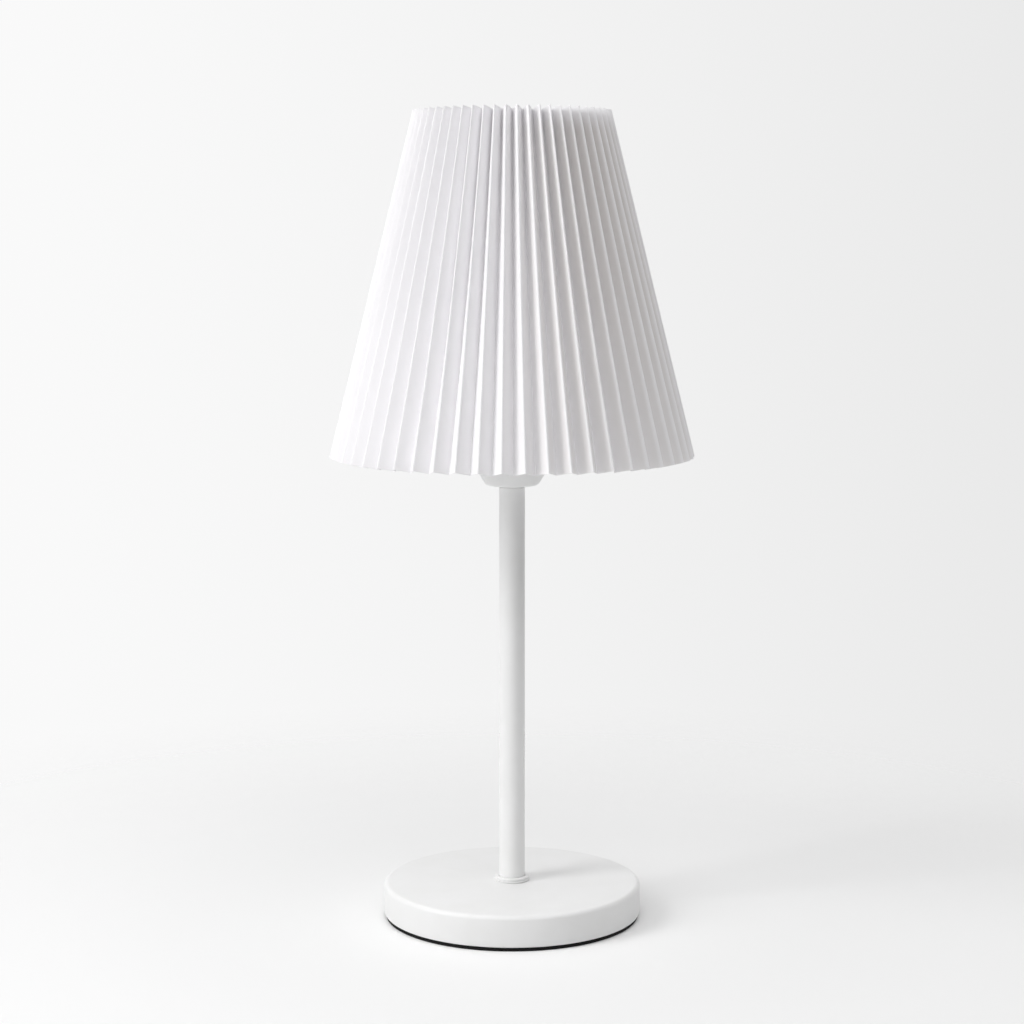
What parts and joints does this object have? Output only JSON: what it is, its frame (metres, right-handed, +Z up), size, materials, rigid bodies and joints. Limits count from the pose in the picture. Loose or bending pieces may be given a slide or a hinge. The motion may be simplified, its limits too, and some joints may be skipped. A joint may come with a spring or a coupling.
{
  "type": "cordless table lamp",
  "caption": "Rechargeable table lamp: a pleated cone shade that lifts off a lantern head with a push button, on a slim round stem and a weighted round base.",
  "frame": {"origin": "centre of the pad's underside, on the surface that the lamp stands on", "axes": "+Z up along the stem, -Y towards the front, +X to the right"},
  "size_m": [0.168, 0.1678, 0.3736],
  "materials": {
    "white_paint": "satin",
    "black_foam_rubber": "matte",
    "iron": "matte",
    "zinc_steel": "satin",
    "plug_brass": "satin",
    "white_plastic": "satin",
    "button_plastic": "satin",
    "cell_wrap": "satin",
    "grey_foam": "matte",
    "core_aluminium": "satin",
    "strip_white": "satin",
    "light_chip": "satin",
    "opal_plastic": "satin",
    "board_green": "satin",
    "socket_steel": "polished",
    "black_plastic": "matte",
    "connector_white": "satin",
    "red_insulation": "satin",
    "black_insulation": "satin",
    "clear_plastic": "polished",
    "shade_paper": "matte",
    "white_wire": "satin"
  },
  "bodies": {
    "stand": {"base_shell": "white_paint", "stem_collar": "white_paint", "stem_tube": "white_paint", "head_cup": "white_paint", "base_pad": "black_foam_rubber", "base_weight": "iron", "base_screw": "zinc_steel", "base_washer": "zinc_steel", "head_screw": "zinc_steel", "head_washer": "zinc_steel", "long_screws": "zinc_steel", "stem_foot_insert": "plug_brass", "stem_head_insert": "plug_brass", "inner_frame": "white_plastic", "board_carrier": "white_plastic", "head_cap": "white_plastic", "battery_cell": "cell_wrap", "cell_pad_lower": "grey_foam", "cell_pad_upper": "grey_foam", "led_core": "core_aluminium", "led_strip_1": "strip_white", "led_strip_2": "strip_white", "led_strip_3": "strip_white", "led_strip_4": "strip_white", "led_chips_1": "light_chip", "led_chips_2": "light_chip", "led_chips_3": "light_chip", "led_chips_4": "light_chip", "diffuser_tube": "opal_plastic", "control_board": "board_green", "usb_socket": "socket_steel", "switch_body": "black_plastic", "charge_chip": "black_plastic", "power_inductor": "black_plastic", "battery_plug": "connector_white", "battery_socket": "connector_white", "red_lead": "red_insulation", "black_lead": "black_insulation", "light_pipe": "clear_plastic", "indicator_led": "clear_plastic"},
    "button": {"power_button": "button_plastic", "switch_plunger": "black_plastic"},
    "shade": {"pleated_skin": "shade_paper", "top_ring": "white_wire", "bottom_ring": "white_wire", "centre_ring": "white_wire", "shade_arm_1": "white_wire", "shade_arm_2": "white_wire", "shade_arm_3": "white_wire"}
  },
  "joints": [
    {"name": "shade_lift", "type": "slide", "parent": "stand", "child": "shade", "axis": [0, 0, 1], "range_m": [0, 0.1]},
    {"name": "button_press", "type": "slide", "parent": "stand", "child": "button", "axis": [0, 0, -1], "range_m": [0, 0.0006], "stiffness_N_per_m": 1500, "springref_m": -0.0006}
  ]
}
